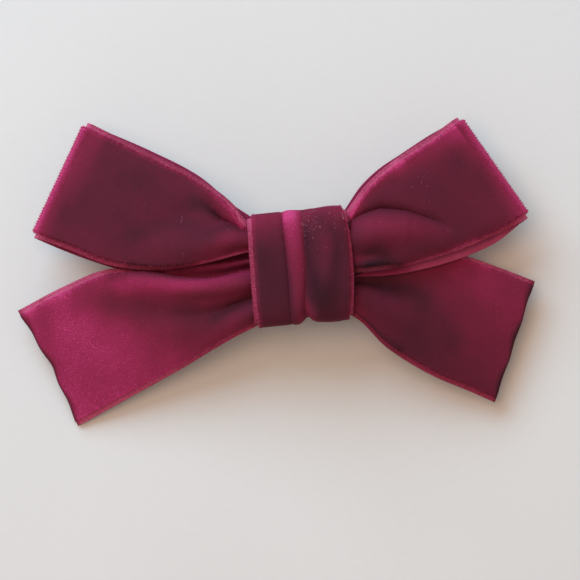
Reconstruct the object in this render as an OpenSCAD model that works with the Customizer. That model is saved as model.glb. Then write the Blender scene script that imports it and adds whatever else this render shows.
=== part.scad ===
// Velvet ribbon hair bow on a French barrette clip.
// X runs along the clip, Y points up the bow, Z points away from the head.
// The origin is under the middle of the bow, on the surface that the clip rests on.

/* [Ribbon] */
// Thickness of the velvet ribbon, pile included
ribbon_t = 1.6; // [1.2:0.1:2.0]
// Thickness of the ribbon wrapped round the middle
wrap_t = 1.5; // [1.2:0.1:1.8]

/* [Knot] */
// Distance from the middle of the bow to the middle of the knot
knot_x = 4.8; // [3:0.1:6]
// Height of the knot's middle above the middle of the bow
knot_y = 0.6; // [0:0.1:1.2]
// Length of the knot along the clip
knot_l = 20.4; // [18:0.1:21]
// Height of the knot across the clip
knot_w = 22.8; // [21:0.1:24]
// Thickness of the knot
knot_t = 9.0; // [8.4:0.1:10]

/* [Loops] */
// Thickness of the left loop at its fold
fold_left_d = 5.2; // [4.6:0.1:6]
// Thickness of the right loop at its fold
fold_right_d = 5.6; // [5:0.1:6.4]
// Height of the left fold's middle above the table
fold_left_z = 11.6; // [11:0.1:13]
// Height of the right fold's middle above the table
fold_right_z = 12.6; // [12:0.1:14]

/* [Clip] */
// Distance between the hinge pin and the latch
clip_l = 60; // [56:1:62]
// Width of the base plate
base_w = 9; // [8.6:0.1:10]
// Thickness of the base plate's sheet
base_t = 0.6; // [0.5:0.05:0.7]
// Height of the rim pressed down round the base plate
rim_h = 1.2; // [1:0.1:1.4]
// Rise of the base plate's arch over the clip's length
base_rise = 2.4; // [2:0.1:2.8]
// Width of the clasp arm
arm_w = 7.4; // [7:0.1:7.4]
// Thickness of the clasp arm
arm_t = 0.7; // [0.6:0.05:0.8]
// Rise of the clasp arm's arch over the clip's length
arm_rise = 2.2; // [1.8:0.1:2.4]
// Room for hair between the clasp arm and the tension bar
hair_gap = 4.8; // [4.6:0.1:5.4]

/* [Tension bar] */
// Length of the tension bar
bar_l = 48; // [44:1:49]
// Width of the tension bar
bar_w = 5.6; // [5:0.1:6]
// Thickness of the tension bar
bar_t = 0.35; // [0.3:0.05:0.45]
// Rise of the tension bar's arch over its own length
bar_rise = 0.3; // [0.2:0.1:0.4]
// How far hair can press the tension bar towards the base plate
bar_flex = 0.6; // [0.4:0.1:0.8]

/* [Hinge and latch] */
// Radius of the hinge pin
pin_r = 0.6; // [0.5:0.05:0.7]
// Running clearance between the hinge pin and the clasp arm
pin_gap = 0.05; // [0.03:0.01:0.08]
// Outside radius of the ears that hold the hinge pin
ear_r = 1.5; // [1.4:0.05:1.6]
// Width of each latch prong along the clip
prong_w = 3.0; // [2.6:0.1:3.2]
// Thickness of each latch prong
prong_t = 0.5; // [0.4:0.05:0.6]
// Distance from the clip's centre line to the outside of a prong
prong_y = 2.1; // [2:0.05:2.2]
// How far each barb stands out from its prong
barb_out = 0.55; // [0.4:0.05:0.6]

/* [Hidden] */
$fn = 64;

velvet = "#7d2846";
velvet_light = "#93315a";
glue = "#e9e2cf";
steel = "#c9c9c6";

// Heights of the clip's layers, from the table up
pin_z = ear_r;
arm_end_z = 1.6;
arm_top = arm_end_z + arm_rise + arm_t;
bar_under = arm_top + hair_gap;
arm_R = arch_radius(clip_l, arm_rise);
bar_R = arch_radius(bar_l, bar_rise);
base_R = arch_radius(clip_l, base_rise);
base_under = bar_under - bar_rise + bar_t + bar_flex + sag(base_R, bar_l / 2) + 0.05;
base_top = base_under + base_t;
glue_t = 0.5;
glue_l = 15;
glue_w = 7;
knot_z0 = base_top + glue_t;

// Places along the clip
hinge_x = knot_x - clip_l / 2;
latch_x = knot_x + clip_l / 2 - 1.5;
base_l = clip_l + 2 * ear_r;
corner_r = 2;

// Inside the knot
core_w = knot_w - 2 * wrap_t;
core_t = knot_t - 2 * wrap_t;
thread_t = 0.5;
thread_l = 5;

// Hinge, latch and keepers
knuckle_r = 1.3;
knuckle_l = base_w - 2 * base_t - 0.3;
pin_head_r = 0.9;
pin_head_t = 0.3;
window_l = prong_w + 0.8;
window_w = 2 * (prong_y + barb_out + 0.1);
prong_gap = 0.05;
barb_h = 1.15;
bridge_t = 0.55;
bridge_z = base_under - sag(base_R, latch_x - knot_x + prong_w / 2) - bridge_t;
rivet_r = 0.7;
rivet_head_r = 1.2;
rivet_head_t = 0.45;
keeper_l = 1.2;
keeper_t = 0.5;
keeper_x = bar_l / 2 - 2;
sewing_hole_r = 0.75;
sewing_hole_x = bar_l / 2 + 2;

// Ribbon corners, each the middle of the ribbon's thickness, from the knot outwards
half_t = ribbon_t / 2;
left_x = knot_x - knot_l / 2 - half_t;
right_x = knot_x + knot_l / 2 + half_t;
loop_left_edges = [
    [[left_x, 7.2], [left_x, 2.4]],
    [[-17.2, 17.4], [-25.5, 1.6]],
    [[-36.9, 27.7], [-46.5, 6.1]]
];
loop_right_edges = [
    [[right_x, 11.0], [right_x, -0.6]],
    [[20.6, 20.0], [27.0, 1.8]],
    [[35.2, 29.1], [48.0, 9.6]]
];
tail_left_edges = [
    [[left_x, -1.2, knot_z0 + 4.4], [left_x, -11.0, knot_z0 + 2.6]],
    [[-29.0, -0.9, 12.2], [-19.8, -19.2, 8.4]],
    [[-50.6, -8.3, 5.4], [-39.4, -29.8, half_t]]
];
tail_right_edges = [
    [[right_x, -2.8, knot_z0 + 3.2], [right_x, -9.4, knot_z0 + 2.6]],
    [[35.0, -0.4, 11.6], [27.8, -18.2, 9.6]],
    [[50.5, -2.6, 7.0], [42.4, -24.9, 4.4]]
];

// Radius of an arch over a chord
function arch_radius(chord, rise) = (chord * chord / 4 + rise * rise) / (2 * rise);

// How far an arch has dropped at a distance from its middle
function sag(R, x) = R - sqrt(R * R - x * x);

// Points along an arch between two distances from its middle
function arch_line(R, top, from, to) =
    [for (i = [0:4]) let (x = from + (to - from) * i / 4) [knot_x + x, top - sag(R, x)]];

// Disc standing on the clip's centre plane, whose rim is an arch with its top at z
module arch_disc(R, z) {
    translate([knot_x, knot_y, z - R])
        rotate([90, 0, 0])
            cylinder(h = 4 * base_w, r = R, center = true, $fn = 1440);
}

// Rectangle with round corners, centred
module round_rect(l, w, r) {
    square([l - 2 * r, w], center = true);
    square([l, w - 2 * r], center = true);
    for (x = [-1, 1], y = [-1, 1])
        translate([x * (l / 2 - r), y * (w / 2 - r)])
            circle(r);
}

// Sheet of thickness t bent to an arch, with its outline drawn by the children
module arched_sheet(R, top, t) {
    difference() {
        intersection() {
            linear_extrude(height = top + 1)
                children();
            arch_disc(R, top);
        }
        arch_disc(R - t, top - t);
    }
}

// Bar along X with a rounded rectangle as its section
module round_bar(l, w, t, r) {
    translate([knot_x, knot_y, knot_z0 + knot_t / 2])
        rotate([90, 0, 90])
            linear_extrude(height = l, center = true)
                round_rect(w, t, r);
}

// Solid through four or more corners, rounded with balls of diameter d
module through_corners(corners, d) {
    hull()
        for (p = corners)
            translate(p)
                sphere(d = d, $fn = 16);
}

// Flat ribbon end: one panel between each pair of edges
module ribbon_tail(edges) {
    for (i = [0:len(edges) - 2])
        through_corners(concat(edges[i], edges[i + 1]), ribbon_t);
}

// The ends of one edge of a loop, at two heights
function raised(edge, low, high) = [for (p = edge, z = [low, high]) [p[0], p[1], z]];

// A point moved along an edge, out past its ends
function past(edge, i, by) =
    let (a = edge[i], b = edge[1 - i], d = norm(a - b)) a + (a - b) * by / d;

// Level rod along an edge
module rod(edge, z, d) {
    run = edge[1] - edge[0];
    translate([edge[0][0], edge[0][1], z])
        rotate([0, 90, atan2(run[1], run[0])])
            cylinder(h = norm(run), d = d, $fn = 32);
}

// Loop of doubled ribbon: puffed at its middle, folded over at its end, open at its sides
module ribbon_loop(edges, fold_d, fold_z) {
    knot_low = knot_z0 + 1.1 + half_t;
    knot_high = knot_z0 + knot_t - 2.2 - half_t;
    middle_low = (knot_low + fold_z - fold_d / 2 + half_t) / 2;
    middle_high = knot_high - 1;
    inner_d = 0.4;
    room = ribbon_t / 2 + inner_d / 2;
    wide = [for (e = edges) [past(e, 0, 2), past(e, 1, 2)]];
    difference() {
        union() {
            through_corners(concat(raised(edges[0], knot_low, knot_high),
                raised(edges[1], middle_low, middle_high)), ribbon_t);
            hull() {
                for (p = raised(edges[1], middle_low, middle_high))
                    translate(p)
                        sphere(d = ribbon_t, $fn = 16);
                rod(edges[2], fold_z, fold_d);
            }
        }
        hull() {
            for (p = raised(wide[1], middle_low + room, middle_high - room))
                translate(p)
                    sphere(d = inner_d, $fn = 12);
            rod(wide[2], fold_z, fold_d - 2 * ribbon_t);
        }
    }
}

module loop_left() {
    color(velvet) ribbon_loop(loop_left_edges, fold_left_d, fold_left_z);
}

module loop_right() {
    color(velvet) ribbon_loop(loop_right_edges, fold_right_d, fold_right_z);
}

module tail_left() {
    color(velvet_light) ribbon_tail(tail_left_edges);
}

module tail_right() {
    color(velvet_light) ribbon_tail(tail_right_edges);
}

// The ribbon's gathered middle, pinched to a bundle that the thread sinks into
module gathered_middle() {
    color(velvet)
        difference() {
            round_bar(knot_l, core_w, core_t, 2.6);
            thread_ring();
        }
}

// Ring of thread laid into the bundle
module thread_ring() {
    difference() {
        round_bar(thread_l, core_w, core_t, 2.6);
        round_bar(thread_l + 1, core_w - 2 * thread_t, core_t - 2 * thread_t, 2.1);
    }
}

module binding_thread() {
    color("#6a2440") thread_ring();
}

// Ribbon wrapped once round the bundle
module knot_wrap() {
    color(velvet)
        difference() {
            round_bar(knot_l, knot_w, knot_t, 3.6);
            round_bar(knot_l + 1, core_w, core_t, 2.6);
        }
}

// Upright sheet across the clip, with its side view drawn by the children
module across_clip(w) {
    translate([0, knot_y, 0])
        rotate([90, 0, 0])
            linear_extrude(height = w, center = true)
                children();
}

// Hot glue between the base plate and the knot
module glue_bead() {
    seat = arch_line(base_R, base_top + 0.01, -glue_l / 2, glue_l / 2);
    color(glue)
        intersection() {
            translate([knot_x, knot_y, 0])
                linear_extrude(height = knot_z0)
                    round_rect(glue_l, glue_w, 2.5);
            across_clip(base_w)
                polygon(concat(seat, [[knot_x + glue_l / 2, knot_z0], [knot_x - glue_l / 2, knot_z0]]));
        }
}

// Strap across the rim that holds one end of the tension bar
module keeper(side) {
    x = knot_x + side * keeper_x;
    low = bar_under - sag(bar_R, keeper_x + keeper_l / 2) - 0.02;
    post_t = 0.6;
    translate([x - keeper_l / 2, knot_y - base_w / 2, low - keeper_t])
        cube([keeper_l, base_w, keeper_t]);
    for (y = [-1, 1])
        translate([x - keeper_l / 2, knot_y + y * (base_w - post_t) / 2 - post_t / 2, low - keeper_t])
            cube([keeper_l, post_t, base_under - sag(base_R, keeper_x) - low + keeper_t]);
}

// Ear that carries one end of the hinge pin
module ear(side) {
    y = knot_y + side * (base_w - base_t) / 2;
    ear_top = base_under - sag(base_R, base_l / 2);
    translate([hinge_x, y, pin_z])
        rotate([90, 0, 0])
            cylinder(h = base_t, r = ear_r, center = true);
    translate([hinge_x - ear_r, y - base_t / 2, pin_z])
        cube([2 * ear_r, base_t, ear_top - pin_z + base_t / 2]);
}

// Pressed steel plate with a rim, hinge ears, keepers and sewing holes
module base_plate() {
    color(steel)
        difference() {
            union() {
                difference() {
                    arched_sheet(base_R, base_top, rim_h)
                        translate([knot_x, knot_y])
                            round_rect(base_l, base_w, corner_r);
                    difference() {
                        translate([knot_x, knot_y])
                            linear_extrude(height = base_top)
                                round_rect(base_l - 2 * base_t, base_w - 2 * base_t, corner_r - base_t);
                        arched_sheet(base_R, base_top, base_t)
                            translate([knot_x, knot_y])
                                square([2 * base_l, 2 * base_w], center = true);
                    }
                }
                for (side = [-1, 1]) {
                    keeper(side);
                    ear(side);
                }
            }
            translate([hinge_x, knot_y, pin_z])
                rotate([90, 0, 0])
                    cylinder(h = 2 * base_w, r = pin_r, center = true);
            translate([latch_x, knot_y, bridge_z])
                cylinder(h = 10, r = rivet_r);
            for (side = [-1, 1])
                translate([knot_x + side * sewing_hole_x, knot_y, bridge_z])
                    cylinder(h = 10, r = sewing_hole_r);
        }
}

// Pin riveted over at both ears
module hinge_pin() {
    color(steel)
        translate([hinge_x, knot_y, pin_z])
            rotate([90, 0, 0]) {
                cylinder(h = base_w, r = pin_r, center = true);
                for (side = [-1, 1])
                    translate([0, 0, side * (base_w + pin_head_t) / 2])
                        cylinder(h = pin_head_t, r = pin_head_r, center = true);
            }
}

// Springy strip that presses the hair against the clasp arm
module tension_bar() {
    color(steel)
        arched_sheet(bar_R, bar_under + bar_t, bar_t)
            translate([knot_x, knot_y])
                round_rect(bar_l, bar_w, 1.5);
}

// Crown of the latch spring, seated under the base plate
module latch_bridge() {
    left = latch_x - prong_w / 2;
    right = latch_x + prong_w / 2;
    color(steel)
        difference() {
            across_clip(2 * prong_y)
                polygon([
                    [left, bridge_z],
                    [right, bridge_z],
                    [right, base_under - sag(base_R - base_t, right - knot_x)],
                    [left, base_under - sag(base_R - base_t, left - knot_x)]
                ]);
            translate([latch_x, knot_y, bridge_z - 1])
                cylinder(h = 10, r = rivet_r);
        }
}

// Rivet through the base plate and the latch spring
module latch_rivet() {
    top = base_top - sag(base_R, latch_x - knot_x - rivet_head_r);
    color(steel) {
        translate([latch_x, knot_y, bridge_z - rivet_head_t])
            cylinder(h = top - bridge_z + 2 * rivet_head_t, r = rivet_r);
        translate([latch_x, knot_y, bridge_z - rivet_head_t])
            cylinder(h = rivet_head_t, r = rivet_head_r);
        difference() {
            translate([latch_x, knot_y, top - 1])
                cylinder(h = 1 + rivet_head_t, r = rivet_head_r);
            arch_disc(base_R, base_top);
        }
    }
}

// One prong of the latch spring, with a barb near its tip; side is -1 at the front and 1 at the rear
module latch_prong(side) {
    top = bridge_z - prong_gap;
    inside = prong_y - prong_t;
    color(steel)
        translate([latch_x - prong_w / 2, knot_y, 0])
            mirror([0, side < 0 ? 1 : 0, 0])
                rotate([90, 0, 90])
                    linear_extrude(height = prong_w)
                        polygon([
                            [inside, top],
                            [inside, 0.3],
                            [inside + 0.15, 0],
                            [prong_y, 0],
                            [prong_y + barb_out, barb_h - 0.35],
                            [prong_y + barb_out, barb_h],
                            [prong_y, barb_h + 0.15],
                            [prong_y, top]
                        ]);
}

module latch_prong_front() {
    latch_prong(-1);
}

module latch_prong_rear() {
    latch_prong(1);
}

// Arm that swings away from the head, with a window that clips over the prongs
module clasp_arm() {
    tab = 2.6;
    arm_l = latch_x + window_l / 2 + tab - hinge_x;
    color(steel)
        difference() {
            union() {
                arched_sheet(arm_R, arm_top, arm_t)
                    difference() {
                        translate([hinge_x + arm_l / 2, knot_y])
                            round_rect(arm_l, arm_w, 1.8);
                        translate([hinge_x - 5 + knuckle_r / 2, knot_y])
                            square([10, 2 * arm_w], center = true);
                        translate([latch_x, knot_y])
                            square([window_l, window_w], center = true);
                    }
                translate([hinge_x, knot_y, pin_z])
                    rotate([90, 0, 0])
                        cylinder(h = knuckle_l, r = knuckle_r, center = true);
            }
            translate([hinge_x, knot_y, pin_z])
                rotate([90, 0, 0])
                    cylinder(h = 2 * base_w, r = pin_r + pin_gap, center = true);
        }
}

loop_left();
loop_right();
tail_left();
tail_right();
gathered_middle();
binding_thread();
knot_wrap();
glue_bead();
base_plate();
hinge_pin();
tension_bar();
latch_bridge();
latch_rivet();
latch_prong_front();
latch_prong_rear();
clasp_arm();
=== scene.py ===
import math

import bpy
import numpy as np
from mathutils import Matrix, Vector


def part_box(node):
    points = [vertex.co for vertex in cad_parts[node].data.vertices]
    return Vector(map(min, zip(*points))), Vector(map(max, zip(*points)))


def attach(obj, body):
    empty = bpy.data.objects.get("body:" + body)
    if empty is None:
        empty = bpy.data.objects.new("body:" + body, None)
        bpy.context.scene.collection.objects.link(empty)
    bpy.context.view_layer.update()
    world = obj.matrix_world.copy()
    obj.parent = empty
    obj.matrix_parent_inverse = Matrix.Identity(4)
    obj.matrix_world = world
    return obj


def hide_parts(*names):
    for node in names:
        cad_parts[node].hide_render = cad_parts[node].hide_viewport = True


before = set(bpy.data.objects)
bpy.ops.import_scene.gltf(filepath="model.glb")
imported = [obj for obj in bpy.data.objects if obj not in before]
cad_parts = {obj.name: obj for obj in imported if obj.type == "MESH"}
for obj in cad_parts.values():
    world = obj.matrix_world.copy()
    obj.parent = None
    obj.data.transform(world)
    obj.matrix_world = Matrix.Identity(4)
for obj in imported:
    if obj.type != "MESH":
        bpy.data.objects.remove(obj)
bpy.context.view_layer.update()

# Lengths in this script are in millimetres until a mesh is made.
MM = 0.001
RANDOM = np.random.default_rng(12)

# The velvet ribbon.
RIBBON_W = 25.0
CLOTH_HALF = 0.22
PILE_H = 0.75
SELVAGE_W = 0.95
SHOULDER_W = 0.5
ROW_STEP = 0.17
SCALLOP_PITCH = 0.42
SCALLOP_DEPTH = 0.05

FUZZ_MARGIN = 0.3
ACROSS_STEPS = 120

# The order of the velvet's materials on every ribbon.
PILE, SELVAGE, BACK, SEALED = range(4)

# The camera: metres from its target, degrees above the floor, and view width in object lengths.
CAMERA_DISTANCE = 0.62
CAMERA_ELEVATION = 85.5
VIEW_SHARE = 1.13

# The floor's side, in metres.
FLOOR_SIZE = 4.0

# The wrap's width along X, a little over its node's.
WRAP_W = (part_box("knot_wrap")[1][0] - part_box("knot_wrap")[0][0]) / MM + 0.6


# ---- frame helpers


def node_box(name):
    low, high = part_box(name)
    return np.array(low) / MM, np.array(high) / MM


def whole_box():
    boxes = [node_box(name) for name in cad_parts]
    low = np.min([box[0] for box in boxes], axis=0)
    high = np.max([box[1] for box in boxes], axis=0)
    return low, high


def placed(name, shares):
    """Points given as shares of a node's box along X, Y and Z."""
    low, high = node_box(name)
    return low + np.array(shares, float) * (high - low)


# ---- camera, floor and light


def look_from(obj, place, target):
    obj.location = place
    direction = Vector(target) - Vector(place)
    obj.rotation_euler = direction.to_track_quat("-Z", "Y").to_euler()


def add_camera():
    """The camera looks down on the bow from a little in front."""
    low, high = whole_box()
    size = high - low
    middle = (low + high) / 2
    target = np.array([
        middle[0] + 0.026 * size[0],
        middle[1] - 0.069 * size[1],
        low[2] + 0.55 * size[2],
    ]) * MM
    view_width = VIEW_SHARE * size[0] * MM
    elevation = math.radians(CAMERA_ELEVATION)
    camera = bpy.data.objects.new("camera", bpy.data.cameras.new("camera"))
    camera.data.angle = 2 * math.atan(view_width / 2 / CAMERA_DISTANCE)
    camera.data.clip_start = 0.01
    bpy.context.scene.collection.objects.link(camera)
    place = target + CAMERA_DISTANCE * np.array([0, -math.cos(elevation), math.sin(elevation)])
    look_from(camera, place, target)
    bpy.context.scene.camera = camera


def add_area(name, place, target, size, watts, colour):
    light = bpy.data.lights.new(name, "AREA")
    light.shape = "DISK"
    light.size = size
    light.energy = watts
    light.color = colour
    obj = bpy.data.objects.new(name, light)
    bpy.context.scene.collection.objects.link(obj)
    look_from(obj, place, target)


def add_lights():
    """A broad cool window at the upper left, a warm lamp by the camera and a dim warm room."""
    low, high = whole_box()
    span = float(high[0] - low[0]) * MM
    centre = Vector(((low + high) / 2 * MM).tolist())
    window = centre + span * Vector((-3.3, 5.1, 5.5))
    lamp = centre + span * Vector((-0.97, 0.2, 6.4))
    add_area("window", window, centre, size=7.0 * span, watts=6.55, colour=(0.53, 0.80, 1.0))
    add_area("lamp", lamp, centre, size=3.3 * span, watts=1.42, colour=(1.0, 0.66, 0.44))
    world = bpy.data.worlds.new("world")
    bpy.context.scene.world = world
    world.use_nodes = True
    sky = world.node_tree.nodes["Background"]
    sky.inputs["Color"].default_value = (1.0, 0.84, 0.74, 1)
    sky.inputs["Strength"].default_value = 0.36


# ---- material helpers


def srgb(red, green, blue):
    """A display colour, 0 to 255, as the linear colour that Blender wants."""
    share = np.array([red, green, blue]) / 255
    linear = np.where(share <= 0.04045, share / 12.92, ((share + 0.055) / 1.055) ** 2.4)
    return (*linear.tolist(), 1.0)


class Nodes:
    """Makes the nodes of one material. An input is named, or is i and its number."""

    def __init__(self, name):
        self.material = bpy.data.materials.new(name)
        self.material.use_nodes = True
        self.tree = self.material.node_tree
        self.shader = self.tree.nodes["Principled BSDF"]

    def add(self, kind, settings=None, **inputs):
        made = self.tree.nodes.new(kind)
        for key, value in (settings or {}).items():
            setattr(made, key, value)
        for key, value in inputs.items():
            self.feed(made, key.replace("_", " "), value)
        return made

    def feed(self, made, key, value):
        socket = made.inputs[int(key[1:])] if key[0] == "i" and key[1:].isdigit() else made.inputs[key]
        if isinstance(value, bpy.types.NodeSocket):
            self.tree.links.new(value, socket)
        else:
            socket.default_value = value

    def math(self, operation, first, second=0.0):
        made = self.add("ShaderNodeMath", {"operation": operation}, i0=first, i1=second)
        return made.outputs[0]

    def attribute(self, name):
        return self.add("ShaderNodeAttribute", {"attribute_name": name}).outputs["Fac"]

    def place(self, stretch=(1, 1, 1)):
        where = self.add("ShaderNodeTexCoord").outputs["Object"]
        return self.add("ShaderNodeMapping", Vector=where, Scale=stretch).outputs["Vector"]

    def noise(self, size_mm, detail=2.0, stretch=(1, 1, 1), roughness=0.5):
        made = self.add(
            "ShaderNodeTexNoise",
            Vector=self.place(stretch),
            Scale=1 / (size_mm * MM),
            Detail=detail,
            Roughness=roughness,
        )
        return made.outputs["Fac"]

    def ramp(self, value, stops):
        made = self.add("ShaderNodeValToRGB", Fac=value)
        band = made.color_ramp
        while len(band.elements) < len(stops):
            band.elements.new(0.5)
        for element, (place, colour) in zip(band.elements, stops):
            element.position = place
            element.color = colour
        return made.outputs["Color"]

    def spread(self, value, low, high):
        """A value from 0 to 1 turned to low to high."""
        made = self.add("ShaderNodeMapRange", Value=value)
        made.inputs["To Min"].default_value = low
        made.inputs["To Max"].default_value = high
        return made.outputs["Result"]

    def mixed(self, share, first, second):
        made = self.add("ShaderNodeMix", {"data_type": "RGBA"}, i0=share, i6=first, i7=second)
        return made.outputs[2]

    def bump(self, height, depth_mm, strength=1.0, under=None):
        made = self.add("ShaderNodeBump", Height=height, Distance=depth_mm * MM, Strength=strength)
        if under is not None:
            self.feed(made, "Normal", under)
        return made.outputs["Normal"]

    def finish(self, **inputs):
        for key, value in inputs.items():
            self.feed(self.shader, key.replace("_", " "), value)
        return self.material


# The velvet's colours for its tone from 0 to 1, from its darkest painted shade to its brightest painted
# sheen.
VELVET_STOPS = [
    (0.00, srgb(42, 21, 29)),
    (0.28, srgb(83, 31, 47)),
    (0.55, srgb(123, 36, 62)),
    (0.80, srgb(162, 44, 88)),
    (1.00, srgb(206, 70, 128)),
]


def velvet_material():
    n = Nodes("velvet_pile")
    # The tone read here holds painted light and shade: darker creases and hollows, lighter crowns and
    # edges, and the pile's lay under the light. The patches are random mottling.
    nap_and_painted_shading = n.attribute("nap_and_painted_shading")
    small = n.spread(n.noise(5.0, 2.0), -0.06, 0.06)
    large = n.spread(n.noise(13.0, 1.0), -0.09, 0.09)
    patches = n.math("ADD", small, large)
    grain = n.noise(0.17, 1.0, roughness=0.6)
    # Painted glints: sparse bright specks with the fine grain, stronger where the painted tone is light.
    painted_glints = n.math("MAXIMUM", n.spread(n.noise(0.26, 0.0), -0.60, 0.40), 0.0)
    grain_and_glints = n.math("ADD", n.spread(grain, -1.0, 1.0), n.math("MULTIPLY", painted_glints, 3.2))
    grain_and_glints = n.math("MULTIPLY", grain_and_glints, n.spread(n.math("POWER", nap_and_painted_shading, 2.0), 0.06, 0.34))
    tone = n.math("ADD", n.math("ADD", nap_and_painted_shading, patches), grain_and_glints)
    colour = n.ramp(tone, VELVET_STOPS)
    tufts = n.bump(grain, 0.14, 0.7)
    surface = n.bump(n.noise(0.8, 1.0), 0.12, 0.35, tufts)
    return n.finish(
        Base_Color=colour,
        Roughness=0.85,
        Specular_IOR_Level=0.12,
        Sheen_Weight=0.28,
        Sheen_Roughness=0.30,
        Sheen_Tint=srgb(240, 96, 150),
        Normal=surface,
    )


def selvage_material():
    n = Nodes("velvet_selvage")
    along = n.attribute("along")
    ribs = n.math("SINE", n.math("MULTIPLY", along, 2 * math.pi / SCALLOP_PITCH))
    rib_height = n.spread(n.math("MULTIPLY_ADD", ribs, 0.5), 0.0, 1.0)
    threads = n.noise(0.35, 2.0)
    tone = n.math("ADD", n.math("MULTIPLY", ribs, 0.10), n.spread(threads, -0.20, 0.50))
    # The pile's painted light and shade carries on over the selvage.
    tone = n.math("ADD", tone, n.math("MULTIPLY", n.attribute("nap_and_painted_shading"), 0.8))
    colour = n.ramp(tone, [
        (0.1, srgb(98, 24, 46)),
        (0.5, srgb(150, 44, 76)),
        (0.9, srgb(204, 92, 134)),
    ])
    surface = n.bump(rib_height, 0.06, 0.6, n.bump(threads, 0.06, 0.6))
    return n.finish(
        Base_Color=colour,
        Roughness=0.60,
        Specular_IOR_Level=0.18,
        Sheen_Weight=0.18,
        Sheen_Roughness=0.4,
        Sheen_Tint=srgb(240, 150, 190),
        Normal=surface,
    )


def back_material():
    n = Nodes("velvet_back")
    along = n.attribute("along")
    across = n.attribute("across")
    warp = n.math("SINE", n.math("MULTIPLY", across, 2 * math.pi / 0.34))
    weft = n.math("SINE", n.math("MULTIPLY", along, 2 * math.pi / 0.40))
    weave = n.spread(n.math("MULTIPLY", warp, weft), 0.2, 0.8)
    cloud = n.spread(n.math("ADD", weave, n.noise(2.2, 3.0)), -0.35, 0.0)
    # The underside's tone holds painted shade inside the loops and painted highlights on their folds.
    tone = n.math("ADD", n.attribute("nap_and_painted_shading"), cloud)
    colour = n.ramp(tone, [
        (0.0, srgb(70, 22, 40)),
        (0.5, srgb(140, 40, 76)),
        (1.0, srgb(206, 92, 140)),
    ])
    return n.finish(
        Base_Color=colour,
        Roughness=0.75,
        Specular_IOR_Level=0.10,
        Normal=n.bump(weave, 0.05, 0.7),
    )


def sealed_material():
    n = Nodes("velvet_sealed_end")
    lumps = n.noise(0.5, 3.0)
    colour = n.ramp(lumps, [(0.2, srgb(58, 18, 30)), (0.8, srgb(104, 30, 52))])
    return n.finish(
        Base_Color=colour,
        Roughness=0.42,
        Specular_IOR_Level=0.45,
        Normal=n.bump(lumps, 0.15, 0.8),
    )


def fringe_material():
    n = Nodes("velvet_fibres")
    nap_and_painted_shading = n.attribute("nap_and_painted_shading")
    # The fibres take the painted light and shade of the pile they stand on.
    tone = n.math("ADD", nap_and_painted_shading, n.spread(n.noise(0.5, 1.0), -0.15, 0.25))
    colour = n.ramp(tone, VELVET_STOPS)
    return n.finish(
        Base_Color=colour,
        Roughness=0.7,
        Specular_IOR_Level=0.25,
        Sheen_Weight=0.35,
        Sheen_Roughness=0.3,
        Sheen_Tint=srgb(240, 150, 195),
    )


def lint_material():
    n = Nodes("lint")
    colour = n.ramp(n.noise(0.8, 1.0), [(0.2, srgb(140, 66, 94)), (0.8, srgb(200, 126, 148))])
    return n.finish(Base_Color=colour, Roughness=0.7, Specular_IOR_Level=0.2)


def thread_material():
    n = Nodes("polyester_thread")
    along = n.attribute("along")
    around = n.attribute("across")
    ply = n.math("SINE", n.math("ADD", n.math("MULTIPLY", along, 9.0), n.math("MULTIPLY", around, 3.0)))
    tone = n.math("ADD", n.math("MULTIPLY", ply, 0.25), n.noise(0.4, 2.0))
    colour = n.ramp(tone, [(0.2, srgb(62, 14, 30)), (0.9, srgb(122, 40, 68))])
    return n.finish(
        Base_Color=colour,
        Roughness=0.5,
        Specular_IOR_Level=0.4,
        Normal=n.bump(ply, 0.05, 0.8),
    )


def glue_material():
    n = Nodes("hot_glue")
    cloud = n.noise(1.6, 3.0)
    colour = n.ramp(cloud, [(0.2, srgb(206, 196, 172)), (0.8, srgb(232, 226, 208))])
    return n.finish(
        Base_Color=colour,
        Roughness=n.spread(n.noise(3.0, 2.0), 0.22, 0.42),
        Specular_IOR_Level=0.5,
        Subsurface_Weight=0.15,
        Normal=n.bump(cloud, 0.2, 0.4),
    )


def steel_material(name, light, dark, rough_low, rough_high, stretch):
    n = Nodes(name)
    brushed = n.noise(0.25, 3.0, stretch, 0.65)
    stains = n.noise(6.0, 4.0)
    shade = n.ramp(stains, [(0.35, dark), (0.62, light)])
    colour = n.mixed(n.spread(brushed, 0.0, 0.25), shade, dark)
    rough = n.math("ADD", n.spread(brushed, rough_low, rough_high), n.spread(stains, -0.05, 0.05))
    surface = n.bump(brushed, 0.02, 0.5, n.bump(n.noise(2.5, 2.0), 0.05, 0.3))
    return n.finish(Base_Color=colour, Metallic=1.0, Roughness=rough, Normal=surface)


def floor_material():
    n = Nodes("pale_paper")
    fibres = n.noise(1.6, 4.0)
    clouds = n.noise(60.0, 2.0)
    tone = n.math("ADD", n.math("MULTIPLY", fibres, 0.3), n.math("MULTIPLY", clouds, 0.7))
    colour = n.ramp(tone, [(0.25, srgb(227, 226, 225)), (0.75, srgb(232, 232, 231))])
    return n.finish(
        Base_Color=colour,
        Roughness=0.75,
        Specular_IOR_Level=0.15,
        Normal=n.bump(fibres, 0.08, 0.35),
    )


# ---- curves and grids


def smooth_path(points, samples=300):
    """A smooth curve through the points, with its samples at even steps."""
    points = np.array(points, float)
    knots = run_along(points)
    slopes = np.gradient(points, knots, axis=0)
    t = np.linspace(0, knots[-1], samples)
    i = np.clip(np.searchsorted(knots, t, side="right") - 1, 0, len(knots) - 2)
    h = (knots[i + 1] - knots[i])[:, None]
    s = (t - knots[i])[:, None] / h
    curve = (2 * s**3 - 3 * s**2 + 1) * points[i] + (s**3 - 2 * s**2 + s) * h * slopes[i]
    curve += (3 * s**2 - 2 * s**3) * points[i + 1] + (s**3 - s**2) * h * slopes[i + 1]
    return even_steps(curve, samples)


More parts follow.
